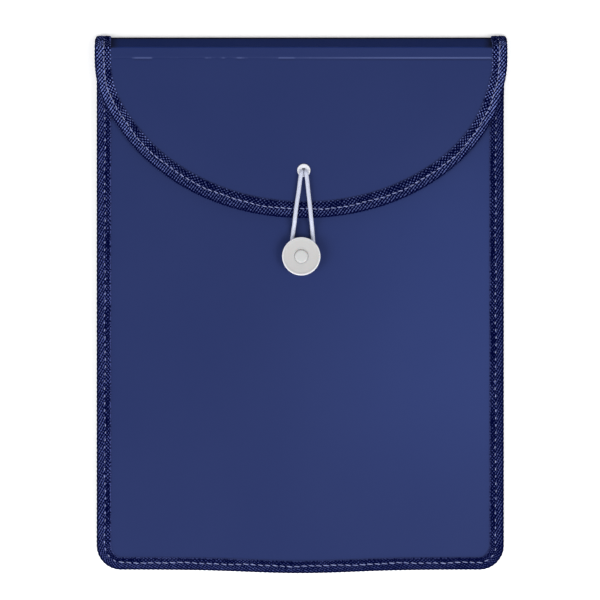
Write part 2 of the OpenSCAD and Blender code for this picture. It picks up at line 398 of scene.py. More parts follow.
def flap_edge():
    """The outer edge line of the flap, from the strip's left end round to its right."""
    side = np.linspace(flap_top_s, flap_round_y, 40, endpoint=False)
    angle = np.linspace(math.pi, math.tau, 400)
    rounded = stack(flap_half * np.cos(angle), flap_round_y + FLAP_ROUND * np.sin(angle))
    line = np.vstack([stack(-flap_half, side), rounded, stack(flap_half, side)[::-1]])
    return resample(line, FLAP_STEP)


def inward(line):
    """Unit direction into the sheet from each point of an edge line that runs anticlockwise."""
    direction = tangents(line)
    return stack(-direction[:, 1], direction[:, 0])


# ---------- sheets ----------


def sheet(name, rows, half_at, thickness, place, relief, columns=97):
    """A closed sheet over rows of s, as wide at each as half_at says, with c moved by relief."""
    across = np.linspace(-1.0, 1.0, columns)[None, :]
    x = half_at(rows)[:, None] * across
    s = bowed(x, rows[:, None] + 0 * x)
    middle = relief(x, s)
    outer = place(stack(x, s, middle + thickness / 2))
    inner = place(stack(x, s, middle - thickness / 2))
    points = np.concatenate([outer.reshape(-1, 3), inner.reshape(-1, 3)])
    uv = np.concatenate([stack(x, s).reshape(-1, 2)] * 2)
    count, size = len(rows), len(rows) * columns
    top = grid_faces(count, columns)
    low = top[:, ::-1] + size
    index = np.arange(size).reshape(count, columns)
    rim = np.concatenate([index[0, :-1], index[:-1, -1], index[-1, :0:-1], index[:0:-1, 0]])
    after = np.roll(rim, -1)
    edge = np.stack([after, rim, rim + size, after + size], axis=-1)
    faces = np.concatenate([top, low, edge])
    return add_mesh(name, points, faces, uv=uv)


def gentle_waves(x, s):
    """The slight unevenness of a stiff sheet, never above its plane and none at its edges."""
    inside = smooth((108 * MM - np.abs(x)) / (50 * MM)) * rise(s, bottom_y + 10 * MM, 50 * MM)
    wave = 0.5 * np.sin(x / (31 * MM) + 1.3) * np.sin(s / (47 * MM) + 0.4)
    wave = wave + 0.5 * np.sin((x + s) / (71 * MM))
    return -0.25 * MM * inside * (1.0 + wave)


def back_relief(x, s):
    """Half of those waves, turned over for the back sheet and fading out under the top fold."""
    fading = smooth((rear_crease[1] - 10 * MM - s) / (30 * MM))
    return -0.5 * gentle_waves(x, s) * fading


def pocket_half_at(rows):
    """Half-width of a pocket sheet inside its tape, with the rounded bottom corners."""
    r = CORNER_R - TAPE_T
    up = np.clip((rows - bottom_y - TAPE_T) / r, 0.0, 1.0)
    return half_width(rows, TAPE_T) - r * (1.0 - np.sqrt(1.0 - (1.0 - up) ** 2))


def flap_half_at(rows):
    """Half-width of the flap sheet inside its tape."""
    depth = np.clip((flap_round_y - rows) / (FLAP_ROUND - TAPE_T), 0.0, 1.0)
    return (flap_half - TAPE_T) * np.sqrt(1.0 - depth**2)


# ---------- edge tape ----------


class Weave:
    """The pattern of one tape: slanting ribs outside its stitch line, and a lattice of dots inside.

    The ribs slant with the tape, or run straight across the whole piece where bias is given.
    """

    def __init__(self, pitch, width, seam, lattice, slant=0.0, bias=None):
        self.pitch, self.width, self.seam, self.lattice = pitch, width, seam, lattice
        self.slant, self.bias = slant, bias

    def across(self, v, width, seam):
        """V with the edge, the stitch line and the inner edge brought to this weave's own places."""
        depth = np.abs(v)
        outer = depth * self.seam / seam
        inner = self.seam + (depth - seam) * (self.width - self.seam) / (width - seam)
        return np.sign(v) * np.where(depth < seam, outer, inner)

    def height(self, u, v, x, s):
        """From -1 to 1, with u along the tape, v across it from its fold, and the flat x and s."""
        depth = np.abs(v)
        way = u + self.slant * depth if self.bias is None else self.bias[0] * x + self.bias[1] * s
        ribs = np.cos(math.tau * way / self.pitch)
        dots = np.cos(math.tau * u / self.lattice[0]) * np.cos(
            math.tau * (depth - self.seam) / self.lattice[1])
        inside = rise(depth, self.seam - 0.3 * MM, 0.6 * MM)
        return ribs + (dots - ribs) * inside


def wandering(line, seam):
    """Distance of the stitch line from the edge at each point, with a sewn seam's slow wander."""
    u = along(line)
    return seam + 0.22 * MM * np.sin(u / (6.7 * MM)) + 0.13 * MM * np.sin(u / (2.9 * MM) + 1.0)


def tape_section(width, above, below, seam, count):
    """The tape's cross-section at each station: distance in from the edge, height, UV v, normal."""
    leg = np.linspace(1.0, 0.0, count, endpoint=False)
    turn = np.radians(np.linspace(90, -90, 9))
    crown = SWELL * np.sin(math.pi * leg) ** 0.7 - THINNING * leg**6
    columns = []

    def leaf(order, level, side):
        for fraction, lift in zip(leg[::order], crown[::order]):
            a = NOSE + fraction * (width - NOSE)
            height = level + lift - DRAWN * bell(a, seam, FURROW)
            columns.append((a, side * height, side * a, 0.0, side))

    leaf(1, above, 1.0)
    for angle in turn:
        a = NOSE * (1 - math.cos(angle))
        middle, half = (above - below) / 2, (above + below) / 2
        side = 1.0 if angle >= 0 else -1.0
        columns.append((a, middle + half * math.sin(angle), side * (a + 0.02 * MM),
                        -math.cos(angle), math.sin(angle)))
    leaf(-1, below, -1.0)
    inside = ((1.0, -1), (0.55, -1), (0.1, -1), (0.1, 1), (0.55, 1), (1.0, 1))
    for fraction, side in inside:
        a = NOSE + fraction * (width - NOSE)
        level = above - TAPE_T if side > 0 else -below + TAPE_T
        columns.append((a, level, side * a, 0.0, 0.0))
    shaped = [stack(*[part + 0 * width for part in column]) for column in columns]
    return np.stack(shaped, axis=1)


def tape(name, line, width, seam, above, below, weave, place, count=16):
    """Woven tape folded round an edge line, its ribs in relief and its inner edge wavy."""
    u = along(line)
    section = tape_section(width, above, below, seam, count)
    a, c, v, out_a, out_c = np.moveaxis(section, -1, 0)
    edge = bell(np.abs(v), width[:, None], SCALLOP_W)
    v = weave.across(v, width[:, None], seam[:, None])
    into = inward(line)
    cloth = line[:, None] + into[:, None] * a[..., None]
    relief = RIB_H * weave.height(u[:, None], v, cloth[..., 0], cloth[..., 1])
    wavy = SCALLOP * np.cos(math.tau * u / weave.lattice[0])[:, None]
    a = a + relief * out_a + wavy * edge
    c = c + relief * out_c
    flat = line[:, None] + into[:, None] * a[..., None]
    points = place(stack(flat[..., 0], flat[..., 1], c))
    piece = add_mesh(name, points, capped_faces(*a.shape), uv=stack(u[:, None], v), cloth=cloth)
    return clean(piece, 75)


def stitches(name, line, seam, levels, pitch, length_at, place):
    """Sewing thread as separate stitches along a seam line, on each of the sheet's two faces.

    A stitch has stations t along it, from -1 to 1, and at each of them its share of the girth.
    """
    path = line + inward(line) * seam[:, None]
    at = along(path)
    count = int(at[-1] / pitch)
    centres = (np.arange(count) + 0.5) * at[-1] / count
    direction = tangents(path)
    t = np.array([-1.0, -0.93, -0.75, -0.35, 0.35, 0.75, 0.93, 1.0])
    girth = np.array([0.05, 0.5, 0.85, 1.0, 1.0, 0.85, 0.5, 0.05])
    turn = full_turn(10)
    arch = THREAD_R * (0.9 * (1 - t**2) - 0.5)
    ring_y = THREAD_R * girth[:, None] * np.cos(turn)
    quads, cap = grid_faces(t.size, turn.size, ring=True), np.arange(turn.size)
    points, faces, uvs = [], [], []
    for centre in centres:
        place_at = np.array([np.interp(centre, at, axis) for axis in path.T])
        for side, level in levels(place_at):
            heading = np.array([np.interp(centre, at, axis) for axis in direction.T])
            sideways = np.array([heading[1], -heading[0]])
            heading = heading / np.linalg.norm(heading) + STITCH_TURN * sideways
            across = np.array([-heading[1], heading[0]])
            ring_x = t[:, None] * length_at(heading) / 2
            ring_c = side * (level + arch[:, None] + 0.8 * THREAD_R * girth[:, None] * np.sin(turn))
            flat = place_at + ring_x[..., None] * heading + ring_y[..., None] * across
            base = len(points) * t.size * turn.size
            points.append(stack(flat[..., 0], flat[..., 1], ring_c).reshape(-1, 3))
            faces.extend([*(quads + base), cap + base, cap + base + (t.size - 1) * turn.size])
            uvs.append(stack(centre + ring_x, THREAD_R * turn[None, :]).reshape(-1, 2))
    return clean(add_mesh(name, place(np.concatenate(points)), faces, uv=np.concatenate(uvs)), 80)


# ---------- lathed pieces ----------


def rounded(profile, radii, count):
    """A profile with its corners rounded. A radius of 0 keeps a corner sharp."""
    profile = np.array(profile, float)
    made = []
    for i, (corner, radius) in enumerate(zip(profile, radii)):
        if radius == 0:
            made.append(corner)
            continue
        before = profile[i - 1] - corner
        after = profile[(i + 1) % len(profile)] - corner
        start = corner + radius * before / np.linalg.norm(before)
        end = corner + radius * after / np.linalg.norm(after)
        for t in np.linspace(0.0, 1.0, count):
            made.append((1 - t) ** 2 * start + 2 * t * (1 - t) * corner + t**2 * end)
    return np.array(made)


def lathe(name, node, body, profile, centre, material, slot, closed=True, sides=96):
    """A profile of (radius, height) points turned about the Z axis, to stand for a CAD node."""
    angle = full_turn(sides)[:, None]
    points = stack(centre[0] + profile[:, 0] * np.cos(angle),
                   centre[1] + profile[:, 0] * np.sin(angle), profile[:, 1])
    index = np.arange(sides * len(profile)).reshape(sides, -1)
    after = np.roll(index, -1, axis=0)
    column = np.arange(len(profile))
    follow = np.roll(column, -1)
    if not closed:
        column, follow = column[:-1], follow[:-1]
    quads = np.stack([index[:, column], after[:, column], after[:, follow], index[:, follow]], -1)
    uv = stack(profile[:, 0] * np.cos(angle), profile[:, 0] * np.sin(angle))
    piece = clean(add_mesh(name, points, quads.reshape(-1, 4), uv=uv), 35)
    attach(piece, body)
    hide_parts(node)
    dress(piece, material, slot)


# ---------- shader formulas ----------


class Term:
    """A value in a material that can be written into a formula."""

    def __init__(self, tree, socket):
        self.tree, self.socket = tree, socket

    def math(self, operation, *others):
        made = add_node(self.tree, "Math", self, *others)
        made.operation = operation
        return Term(self.tree, made.outputs[0])

    def __add__(self, other):
        return self.math("ADD", other)

    def __sub__(self, other):
        return self.math("SUBTRACT", other)

    def __mul__(self, other):
        return self.math("MULTIPLY", other)

    def __abs__(self):
        return self.math("ABSOLUTE")

    def wave(self, length):
        """A cosine of this wavelength, from 0 to 1."""
        return (self * (math.tau / length)).math("COSINE") * 0.5 + 0.5

    def ramp(self, start, end, low=0.0, high=1.0):
        """Low at start and before, high at end and after, with a soft change between."""
        made = add_node(self.tree, "MapRange", self, start, end, low, high)
        made.interpolation_type = "SMOOTHSTEP"
        return Term(self.tree, made.outputs[0])


def give(tree, socket, value):
    """Links a formula to a socket, or sets the socket to a plain value."""
    if isinstance(value, Term):
        tree.links.new(value.socket, socket)
    else:
        socket.default_value = value


def add_node(tree, kind, *values):
    """A shader node with its first inputs given these values or formulas."""
    made = tree.nodes.new("ShaderNode" + kind)
    for socket, value in zip(made.inputs, values):
        give(tree, socket, value)
    return made


def parts(tree, vector, count=3):
    """The first coordinates of a vector's socket."""
    split = add_node(tree, "SeparateXYZ", Term(tree, vector))
    return [Term(tree, split.outputs[i]) for i in range(count)]


class Material:
    """A Principled material whose colour, roughness and relief are formulas in millimetres."""

    def __init__(self, name, **finish):
        self.made = bpy.data.materials.new(name)
        self.made.use_nodes = True
        self.tree = self.made.node_tree
        self.shader = self.tree.nodes["Principled BSDF"]
        for socket, value in finish.items():
            self.set(socket.replace("_", " "), value)

    def set(self, socket, value):
        give(self.tree, self.shader.inputs[socket], value)

    def flat(self, title="flat"):
        """The two coordinates of a UV map, in millimetres."""
        place = add_node(self.tree, "UVMap")
        place.uv_map = title
        return [part * TO_MM for part in parts(self.tree, place.outputs["UV"], 2)]

    def solid(self):
        """The object's own X, Y and Z, in millimetres."""
        place = add_node(self.tree, "TexCoord")
        return [part * TO_MM for part in parts(self.tree, place.outputs["Object"])]

    def noise(self, x, y, z=0.0, detail=2.0):
        """Noise from 0 to 1, a unit of each coordinate being about the size of a blob."""
        join = add_node(self.tree, "CombineXYZ", x, y, z)
        made = add_node(self.tree, "TexNoise", Term(self.tree, join.outputs[0]))
        made.inputs["Scale"].default_value = 1.0
        made.inputs["Detail"].default_value = detail
        return Term(self.tree, made.outputs[0])

    def mix(self, factor, first, second):
        """One colour fading into another."""
        made = add_node(self.tree, "Mix")
        made.data_type = "RGBA"
        for index, value in ((0, factor), (6, first), (7, second)):
            plain = value if isinstance(value, (Term, float)) else (*value, 1.0)
            give(self.tree, made.inputs[index], plain)
        return Term(self.tree, made.outputs[2])

    def finish(self, colour, roughness, height, distance, strength):
        """The material with its colour, roughness and fine relief, height 1 being distance."""
        self.set("Base Color", colour)
        self.set("Roughness", roughness)
        made = add_node(self.tree, "Bump")
        give(self.tree, made.inputs["Height"], height)
        made.inputs["Distance"].default_value = distance
        made.inputs["Strength"].default_value = strength
        self.tree.links.new(made.outputs["Normal"], self.shader.inputs["Normal"])
        return self.made


# ---------- materials ----------

SHEET_BLUE = (0.0105, 0.0228, 0.113)
SHEET_LIGHT = (0.014, 0.0284, 0.129)
STRIP_SHADE_BLUE = (0.001, 0.016, 0.126)
SCORE_HIGHLIGHT = (0.09, 0.12, 0.3)
TAPE_GROOVE = (0.0002, 0.0012, 0.027)
TAPE_RIDGE = (0.095, 0.122, 0.36)
FLAP_RIDGE = (0.205, 0.265, 0.68)
SHADE_NAVY = (0.001, 0.0016, 0.012)
RIM_HIGHLIGHT = (0.8, 0.81, 0.86)
PAINTED_SHEEN_BLUE = (0.02, 0.039, 0.166)
THREAD_PALE = (0.36, 0.41, 0.72)
THREAD_DARK = (0.13, 0.15, 0.34)
ELASTIC_DARK = (0.42, 0.45, 0.61)
ELASTIC_PALE = (0.74, 0.78, 0.92)
DISC_DARK_AND_SHADED = (0.545, 0.540, 0.545)
DISC_PALE_AND_LIT = (0.625, 0.620, 0.615)
BOSS_DARK_AND_SHADED = (0.600, 0.610, 0.615)
BOSS_PALE_AND_LIT = (0.640, 0.650, 0.655)
PAINT_DARK = (0.84, 0.85, 0.92)
PAINT_PALE = (0.90, 0.91, 0.96)
METAL_DARK = (0.45, 0.45, 0.46)
METAL_PALE = (0.62, 0.62, 0.63)
PAPER_DARK = (0.90, 0.90, 0.90)
PAPER_PALE = (0.93, 0.93, 0.93)


def sheet_material(name, strip_s=None, score_s=None, fold_s=None, sheen=0.0):
    """Satin plastic sheet with a faint grain, drawn lines and slight clouding.

    Past strip_s it takes a painted shade for the strip, darker still beside the tape; at score_s it
    has a pale line, a painted highlight, with a painted shadow under it; at fold_s it has a line of
    painted shade; and sheen is how strongly a painted sheen pales it towards the right.
    """
    made = Material(name, Specular_IOR_Level=0.3)
    x, s = made.flat()
    cloud = made.noise(x * 0.012, s * 0.009, detail=3.0)
    drawn = made.noise(x * 0.9, s * 0.012)
    grain = made.noise(x * 3.1, s * 3.1, detail=3.0)
    colour = made.mix(cloud * 0.5 + drawn * 0.18 + grain * 0.3, SHEET_BLUE, SHEET_LIGHT)
    if sheen:
        # Painted sheen: paler towards the right, strongest near mid-height.
        painted_sheen_mask = x.ramp(-50.0, 100.0) * abs(s + 5.0).ramp(30.0, 150.0, 1.0, 0.2)
        colour = made.mix(painted_sheen_mask * (cloud * 0.3 + 0.7) * sheen, colour, PAINTED_SHEEN_BLUE)
    if score_s is not None:
        # A pale line along the score, a painted highlight that shows in patches and fully towards the
        # right, with a painted shadow just under it.
        line = abs(s - score_s * TO_MM).ramp(0.2, 0.7, 1.0, 0.0)
        patchy = made.noise(x * 0.07, 7.0, detail=3.0).ramp(0.50, 0.58)
        shown = (patchy * 0.6).math("MAXIMUM", x.ramp(-45.0, 80.0, 0.0, 0.8))
        under = abs(s - score_s * TO_MM + 1.1).ramp(0.2, 0.7, 0.35, 0.0)
        colour = made.mix(under * shown, made.mix(line * shown, colour, SCORE_HIGHLIGHT), SHADE_NAVY)
    if strip_s is not None:
        # The strip takes a painted shade, darker still beside the tape at both ends.
        on_strip = (s - strip_s * TO_MM).ramp(-0.3, 0.3)
        shade_beside_tape = abs(x).ramp(106.5, 112.0, 0.0, 0.75)
        colour = made.mix(on_strip, colour, made.mix(shade_beside_tape, STRIP_SHADE_BLUE, SHADE_NAVY))
    if fold_s is not None:
        # Painted shade: a dark line along the top fold.
        fold_shade = abs(s - fold_s * TO_MM).ramp(1.0, 1.9, 0.97, 0.0)
        colour = made.mix(fold_shade, colour, SHADE_NAVY)
    roughness = cloud * 0.10 + grain * 0.08 + 0.36
    return made.finish(colour, roughness, grain * 0.7 + drawn * 0.3, 0.02 * MM, 0.6)


def tape_material(name, weave, ridge, right, selvedge, darkest_u=None):
    """Woven ribbon: pale ribs broken by yarns, dots inside the stitch line, and a pale selvedge.

    right is how pale it stays at the right, and the last argument, where given, is the u at which it
    is darkest, paling both ways away from it.
    """
    made = Material(name, Specular_IOR_Level=0.0)
    u, v = made.flat()
    x, s = made.flat("cloth")
    depth = abs(v)
    seam, width = weave.seam / MM, weave.width / MM
    shift = made.noise(u * 0.4, v * 0.4, 5.0) * 0.9
    if weave.bias is None:
        way = u + depth * weave.slant + shift
        cross = u - depth * (1.0 / weave.slant)
    else:
        way = x * weave.bias[0] + s * weave.bias[1] + shift * 0.4
        cross = x * weave.bias[1] - s * weave.bias[0]
    blotch = made.noise(u * 0.95, v * 0.95, 2.0, detail=1.0)
    fibre = made.noise(u * 2.2, v * 2.2, detail=3.0)
    patchy = made.noise(u * 0.11, v * 0.25, 3.0)
    ribs = way.wave(weave.pitch / MM) * (cross.wave(1.7) * 0.45 + 0.55)
    dots = (u.wave(weave.lattice[0] / MM) - 0.5) * ((depth - seam).wave(weave.lattice[1] / MM) - 0.5)
    dots = dots * 2.2 + (u - depth * 1.2 + shift).wave(2.3) * 0.3 + 0.1
    raised = ribs + (dots - ribs) * depth.ramp(seam - 0.3, seam + 0.3)
    raised = raised + blotch * 1.3 + fibre * 0.6 + patchy * 0.5 - 1.2
    rim = depth.ramp(width - 0.8, width - 0.3) * blotch.ramp(0.35, 0.6) * selvedge
    factor = raised.ramp(0.34, 1.0).math("MAXIMUM", rim)
    # Painted shade: a dark band along the tape's folded edge, a little paler right at the fold.
    edge = depth.ramp(0.5, 1.7, 0.06, 1.0).math("MAXIMUM", depth.ramp(0.1, 0.35, 0.6, 0.0))
    factor = factor * edge * x.ramp(-110.0, 110.0, 1.0, right)
    factor = factor * s.ramp(-155.0, -140.0, 0.75, 1.0)
    # Darker around the flap's tip, paler towards both ends of its tape.
    if darkest_u is not None:
        factor = factor * abs(u - darkest_u / MM).ramp(60.0, 165.0, 0.42, 1.0)
    colour = made.mix(factor, TAPE_GROOVE, ridge)
    return made.finish(colour, fibre * 0.15 + 0.62, raised, 0.08 * MM, 0.8)


def thread_material():
    """Twisted sewing thread, paler on its plies."""
    made = Material("thread", Specular_IOR_Level=0.35, Sheen_Weight=0.2)
    u, v = made.flat()
    ply = (u * 1.4 + v * 1.7).wave(0.8)
    patchy = made.noise(u * 0.23, v * 0.4)
    factor = (ply * 0.4 + patchy * 1.5).ramp(0.55, 1.2)
    colour = made.mix(factor, THREAD_DARK, THREAD_PALE)
    return made.finish(colour, ply * -0.1 + 0.55, ply, 0.08 * MM, 0.8)


def plastic_material(name, dark, pale, roughness, rim=None):
    """Moulded white plastic with faint mottling, a few fine scuffs, painted shading that pales it
    towards +Y, and a painted highlight round its rim.
    """
    made = Material(name, Specular_IOR_Level=0.4, Subsurface_Weight=0.05, Subsurface_Scale=0.001)
    x, y, z = made.solid()
    cloud = made.noise(x * 0.35, y * 0.35, z * 0.35, detail=3.0)
    scuff = made.noise(x * 0.5, y * 5.0, z * 2.0, detail=4.0).ramp(0.60, 0.72)
    speck = made.noise(x * 6.0, y * 6.0, z * 6.0)
    # Mottling and scuffs, with painted shading running from darker at low Y to paler at high Y.
    colour = made.mix(cloud * 0.4 + scuff * 0.2 + y.ramp(16.0, 40.0) * 0.5, dark, pale)
    # Painted highlight: a pale ring round the disc's rounded rim.
    if rim is not None:
        u, v = made.flat()
        out = (u * u + v * v).math("SQRT")
        colour = made.mix(out.ramp(rim - 0.9, rim - 0.4), colour, RIM_HIGHLIGHT)
    roughness = scuff * 0.15 + speck * 0.08 + roughness
    return made.finish(colour, roughness, speck * 0.6 + scuff * -0.4, 0.02 * MM, 0.5)


def elastic_material():
    """Round braided elastic: plies crossing in diamonds."""
    made = Material("elastic", Specular_IOR_Level=0.3, Sheen_Weight=0.25)
    u, v = made.flat()
    one = (u + v * PLY_SLANT).wave(PLY_PITCH)
    two = (u - v * PLY_SLANT).wave(PLY_PITCH)
    fuzz = made.noise(u * 5.0, v * 5.0, detail=3.0)
    ply = one.math("MAXIMUM", two)
    colour = made.mix((ply + fuzz * 0.35).ramp(0.45, 1.15), ELASTIC_DARK, ELASTIC_PALE)
    return made.finish(colour, fuzz * 0.1 + 0.6, ply + fuzz * 0.3, 0.06 * MM, 0.7)


def metal_material(name, dark, pale, coated):
    """Pressed metal with drawn lines: painted white, or bare."""
    made = Material(name, Metallic=0.0 if coated else 1.0)
    x, y, z = made.solid()
    drawn = made.noise(x * 0.6, y * 9.0, z * 9.0, detail=3.0)
    cloud = made.noise(x * 0.5, y * 0.5, z * 0.5)
    colour = made.mix(drawn * 0.5 + cloud * 0.5, dark, pale)
    roughness = drawn * 0.15 + (0.25 if coated else 0.30)
    return made.finish(colour, roughness, drawn, 0.01 * MM, 0.5)


def floor_material():
    """Plain matt white paper with the faintest tooth."""
    made = Material("paper", Specular_IOR_Level=0.1, Roughness=0.9, Emission_Strength=0.4,
                    Emission_Color=(1.0, 1.0, 1.0, 1.0))
    x, y, _ = made.solid()
    tooth = made.noise(x * 0.8, y * 0.8)
    made.set("Base Color", made.mix(tooth, PAPER_DARK, PAPER_PALE))
    return made.made


def dress(piece, material, slot=None):
    """Gives a piece its material; the slot is not used."""
    piece.data.materials.clear()
    piece.data.materials.append(material)
    return piece


# ---------- camera ----------


CAMERA_AT = (-0.15 * MM, 2.45 * MM, 5.0)
LENS_MM = 508.1
SENSOR_MM = 36.0


def add_camera():
    """Straight above the bag through a long lens, with the top fold at the top of the frame."""
    lens = bpy.data.cameras.new("camera")
    lens.sensor_width = SENSOR_MM
    lens.lens = LENS_MM
    lens.clip_end = 20.0
    camera = add_object("camera", lens)
    camera.location = CAMERA_AT
    bpy.context.scene.camera = camera


add_camera()


# ---------- elastic ----------

# The route in part.scad, from the eyelet's centre at the height of the flap's outside
LEFT_LEG = MM * np.array([
    (-1.25, -0.5, -0.9), (-1.25, -0.5, 0.3), (-1.3, -0.8, 1.4), (-1.6, -1.9, 1.9),
    (-2.1, -5, 1.9), (-3, -12, 1.9), (-4.2, -20, 1.9), (-5.2, -28, 1.8),
    (-5.5, -31, 0.7), (-6.1, -35, -0.8), (-6.6, -39, -1.45), (-7.1, -44, -1.5)])
RIGHT_LEG = MM * np.array([
    (1.25, -0.5, -0.9), (1.25, -0.5, 0.3), (1.3, -0.8, 1.4), (1.5, -1.9, 1.9),
    (1.9, -5, 1.9), (2.6, -12, 1.9), (3.5, -20, 1.9), (4.3, -28, 1.8),
    (4.6, -31, 0.7), (5, -35, -0.8), (5.3, -39, -1.45), (5.6, -44, -1.5)])
ELASTIC_D = 2.3 * MM
PLY_PITCH = 1.1
PLY_SLANT = 1.3
PLY_H = 0.04 * MM
WRAP_R = 7.3 * MM
EYELET_AT = np.array([2.1, 78.8, 11.8146]) * MM
WRAP_AT = np.array([0.6, 28.2, 10.3146]) * MM


def elastic_route():
    """Down one leg from the eyelet, round the button's neck and up the other leg."""
    turn = np.radians(np.arange(174, 367, 16))
    wrap = WRAP_AT + WRAP_R * stack(np.cos(turn), np.sin(turn), 0.0)
    return np.vstack([EYELET_AT + LEFT_LEG, wrap, EYELET_AT + RIGHT_LEG[::-1]])


def add_elastic():
    """The braided elastic cord, with its plies in relief."""
    route = curve_through(elastic_route(), 0.25 * MM)
    points, faces, uv = tube(route, 1.0, 28)
    middle = route[:, None]
    spoke = points - middle
    u, v = uv[..., 0] / MM, uv[..., 1] * ELASTIC_D / 2 / MM
    one, two = [np.cos(math.tau * (u + slant * v) / PLY_PITCH) for slant in (PLY_SLANT, -PLY_SLANT)]
    points = middle + spoke * (ELASTIC_D / 2 + PLY_H * np.maximum(one, two))[..., None]
    uv = stack(u * MM, v * MM)
    piece = clean(add_mesh("elastic_cord", points, faces, uv=uv), 60)
    dress(piece, elastic_material(), "white_elastic")
    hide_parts("elastic_loop")
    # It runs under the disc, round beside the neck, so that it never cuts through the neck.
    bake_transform(piece)
    float(along(route)[-1])


add_elastic()


# ---------- pocket, strip and flap ----------

body_weave = Weave(pitch=2.75 * MM, width=SIDE_TAPE_W, seam=SIDE_SEAM,
                   lattice=(2.2 * MM, 1.9 * MM), slant=1.8)
flap_weave = Weave(pitch=1.45 * MM, width=FLAP_TAPE_W, seam=FLAP_SEAM,
                   lattice=(2.6 * MM, 1.9 * MM), bias=(-0.79, 0.61))
body_tape = tape_material("body_tape", body_weave, TAPE_RIDGE, right=0.65, selvedge=0.75)
flap_tape = tape_material("flap_tape", flap_weave, FLAP_RIDGE, right=1.0, selvedge=0.2,
                          darkest_u=along(flap_edge())[-1] / 2)
thread = thread_material()

eyelet_low, eyelet_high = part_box("eyelet")
eyelet_centre = (eyelet_low + eyelet_high) / 2
eyelet_r = (eyelet_high.x - eyelet_low.x) / 2
disc_low, disc_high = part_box("button_disc")
disc_centre = (disc_low + disc_high) / 2
disc_r = (disc_high.x - disc_low.x) / 2
score_s = front_crease[1] - SCORE_DROP
rear_fold_s = rear_crease[1] + 0.5 * MM


def outfit(pieces, materials, *nodes):
    """Gives a sheet, its tape and its thread their materials, and hides the CAD nodes that they stand
    for.
    """
    slots = ("blue_sheet", "navy_tape", "blue_thread")
    for piece, material, slot, stood_for in zip(pieces, materials, slots, nodes):
        dress(piece, material, slot)
        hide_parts(*stood_for)


def spread(*stops):
    """Rows between stops (place, count to the next)."""
    rows = [np.linspace(a[0], b[0], a[1], endpoint=False) for a, b in zip(stops, stops[1:])]
    return np.concatenate([*rows, [stops[-1][0]]])


def tape_width(line):
    """The pocket tape's width along its line: narrower at the bottom, wider at the top fold."""
    upright = smooth(np.abs(tangents(line)[:, 1]))
    folded = rise(line[:, 1], rear_crease[1] - 10 * MM, 8 * MM)
    side = SIDE_TAPE_W + (FLAP_TAPE_W - SIDE_TAPE_W) * folded
    return BOTTOM_TAPE_W + (side - BOTTOM_TAPE_W) * upright


def side_seam(line):
    """The pocket's stitch line keeps its share of the tape's width."""
    return SIDE_SEAM * tape_width(line) / SIDE_TAPE_W


def stitch_length(heading):
    """Short stitches up the sides, long ones along the bottom."""
    return SHORT_STITCH + (LONG_STITCH - SHORT_STITCH) * smooth(1.0 - abs(heading[1]) * 1.3)


def same_levels(over, under):
    """The thread's levels along a seam where they never change: outside, and inside."""
    return lambda place_at: ((1.0, over), (-1.0, under))


def flap_relief(x, s):
    """The score line, and the faint wave of a stiff flap."""
    score = -0.06 * MM * bell(s, score_s, 0.45 * MM)
    inside = smooth((flap_half - np.abs(x)) / (30 * MM)) * rise(s, flap_tip_y, 30 * MM)
    inside = inside * smooth((score_s - s) / (20 * MM))
    wave = np.sin(x / (37 * MM) + 0.7) * np.sin(s / (29 * MM))
    return score - 0.12 * MM * inside * (1.0 + wave)


def add_back():
    """The back sheet with its tape and thread, up over the crease to the middle of the strip."""
    crease = rear_crease[1]
    rows = spread((bottom_y + TAPE_T, 10), (bottom_y + 15 * MM, 60), (crease - 4 * MM, 5),
                  (crease - 1.6 * MM, 16), (crease + 0.4 * MM, 6), (back_top_s, 1))
    panel = clean(sheet("back_sheet", rows, pocket_half_at, SHEET_T, on_back, back_relief), 40)

    def gusset_t(s):
        return GUSSET_T * smooth((crease - 4 * MM - s) / (8 * MM))

    def levels(place_at):
        return ((1.0, THREAD_LEVEL + gusset_t(place_at[1])), (-1.0, THREAD_LEVEL))

    line = pocket_edge(back_top_s)
    inner = TAPE_T + SHEET_T / 2 + gusset_t(line[:, 1])
    outer = 0.8 * MM + 0.6 * MM * bell(line[:, 1], rear_fold_s, 2.2 * MM)
    seam = wandering(line, side_seam(line))
    binding = tape("back_binding", line, tape_width(line), seam, inner, outer, body_weave, on_back)
    sewn = stitches("back_stitching", line, seam, levels, BODY_PITCH, stitch_length, on_back)
    blue = sheet_material("back_blue", strip_s=crease, fold_s=rear_fold_s)
    outfit((panel, binding, sewn), (blue, body_tape, thread),
           ["back_panel"], ["back_tape"], ["back_seam"])
    for piece in (panel, binding, sewn):
        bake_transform(piece)


def add_front():
    """The front sheet with its tape and thread, up to the pocket's mouth."""
    rows = spread((bottom_y + TAPE_T, 10), (bottom_y + 15 * MM, 70), (mouth_y, 1))
    panel = sheet("front_sheet", rows, pocket_half_at, SHEET_T, on_front, gentle_waves)
    cut_hole(panel, (disc_centre.x, disc_centre.y, front_mid_z), BUTTON_BORE)
    clean(panel, 40)

    line = pocket_edge(mouth_y)
    seam = wandering(line, side_seam(line))
    binding = tape("front_binding", line, tape_width(line), seam, 0.8 * MM, 1.3 * MM,
                   body_weave, on_front)
    levels = same_levels(THREAD_LEVEL, THREAD_LEVEL + GUSSET_T)
    sewn = stitches("front_stitching", line, seam, levels, BODY_PITCH, stitch_length, on_front)
    outfit((panel, binding, sewn), (sheet_material("front_blue", sheen=1.0), body_tape, thread),
           ["front_panel"], ["front_tape"], ["front_seam"])
    for piece in (panel, binding, sewn):
        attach(piece, "front")


